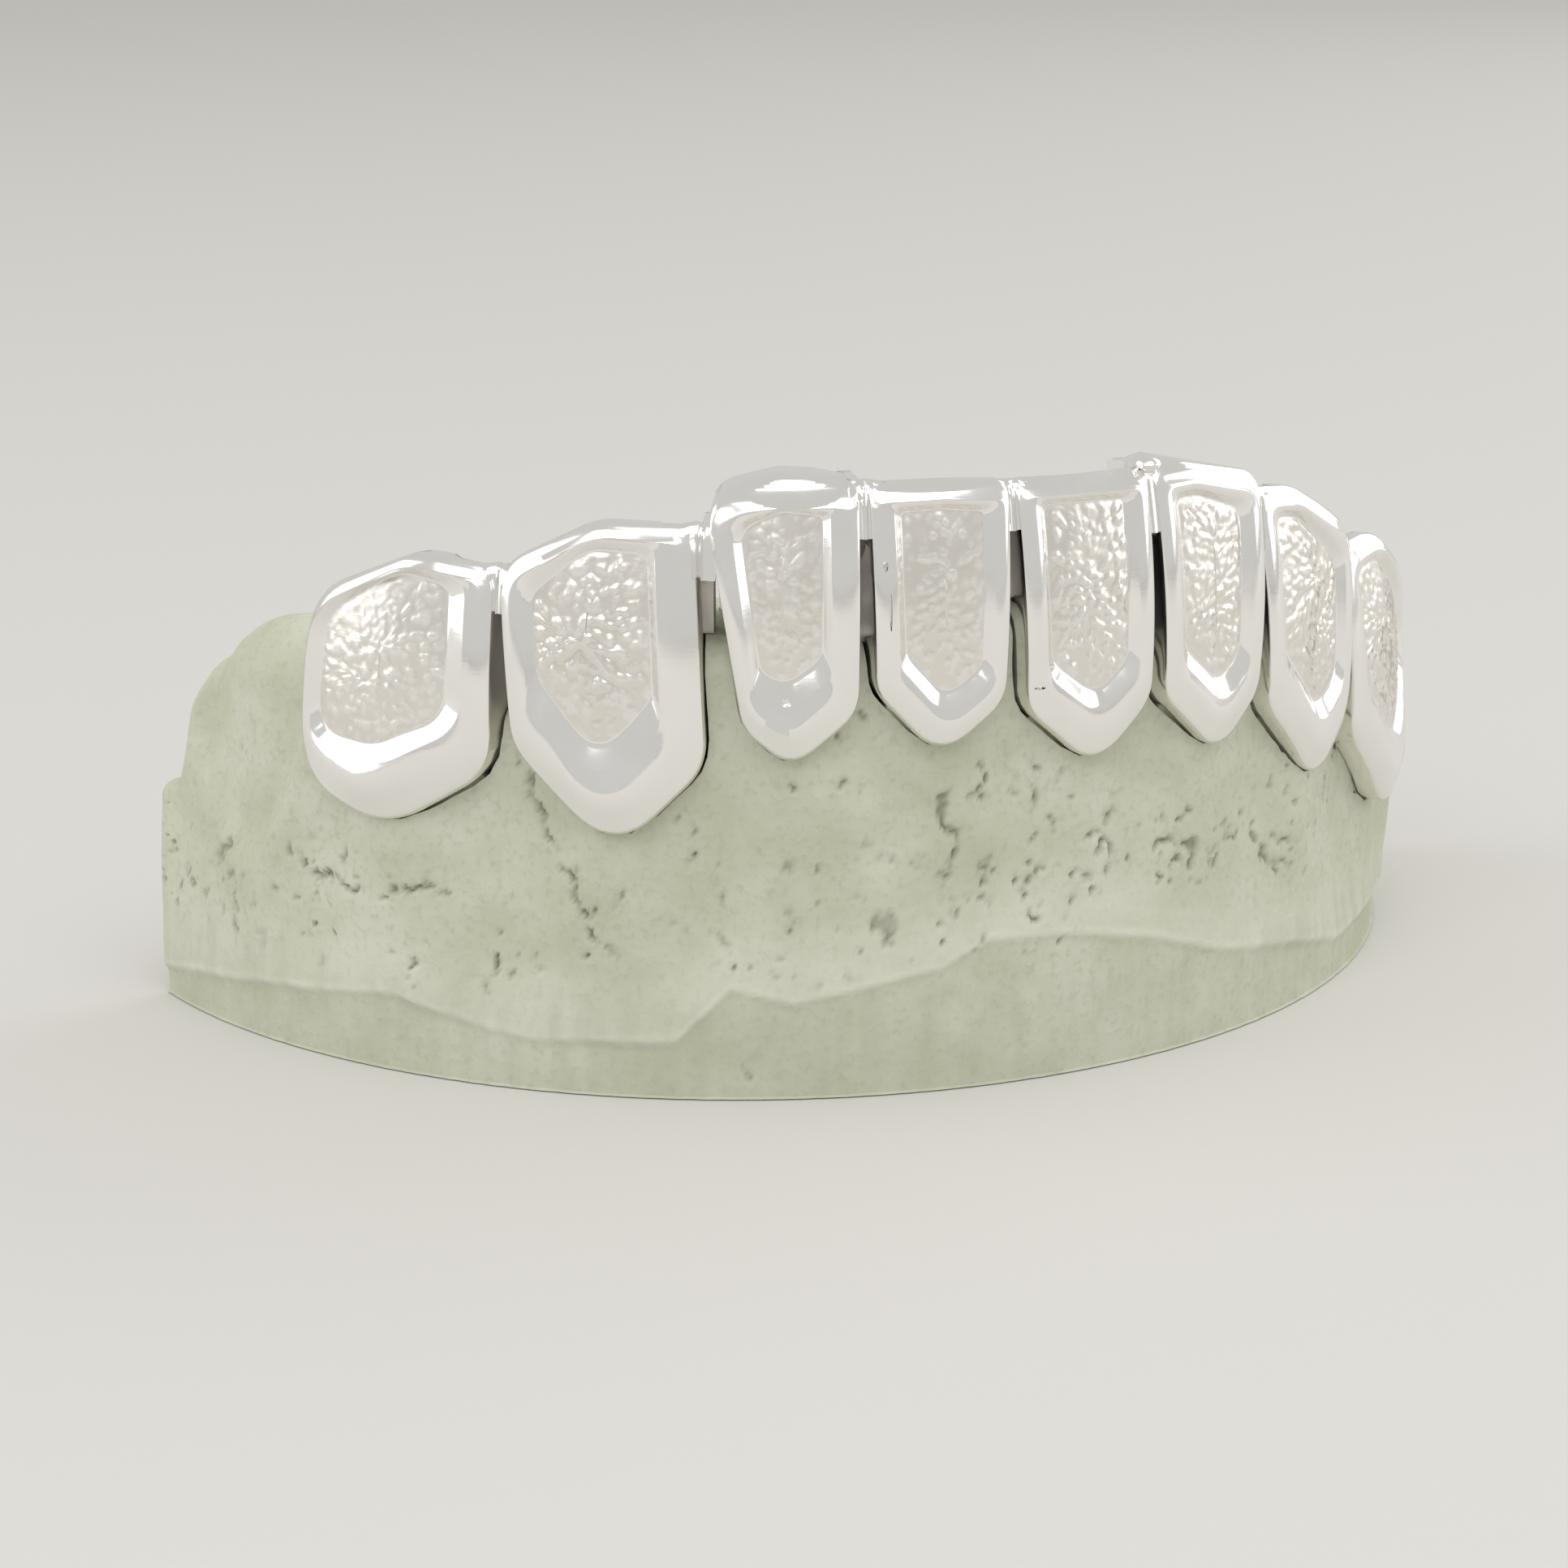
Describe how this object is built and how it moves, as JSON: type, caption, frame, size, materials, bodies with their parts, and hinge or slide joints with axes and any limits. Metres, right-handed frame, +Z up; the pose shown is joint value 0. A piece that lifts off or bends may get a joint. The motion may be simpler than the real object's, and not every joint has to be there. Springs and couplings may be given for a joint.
{
  "type": "grillz tooth cover on a dental stone cast",
  "caption": "Polished grillz tooth cover of hollow caps with sunk nugget-textured windows, joined above saw slits and seated on a horseshoe dental stone cast of the lower arch.",
  "frame": {"origin": "on the bench under the middle of the stone cast's bounding box", "axes": "+Z up from the bench to the biting edges, +Y back towards the open ends of the arch, +X to the right as the teeth are seen from the front"},
  "size_m": [0.046, 0.0197, 0.0197],
  "materials": {
    "silver": "polished",
    "dental_stone": "matte"
  },
  "bodies": {
    "root": {"grillz_casting": "silver", "stone_cast": "dental_stone"}
  },
  "joints": []
}
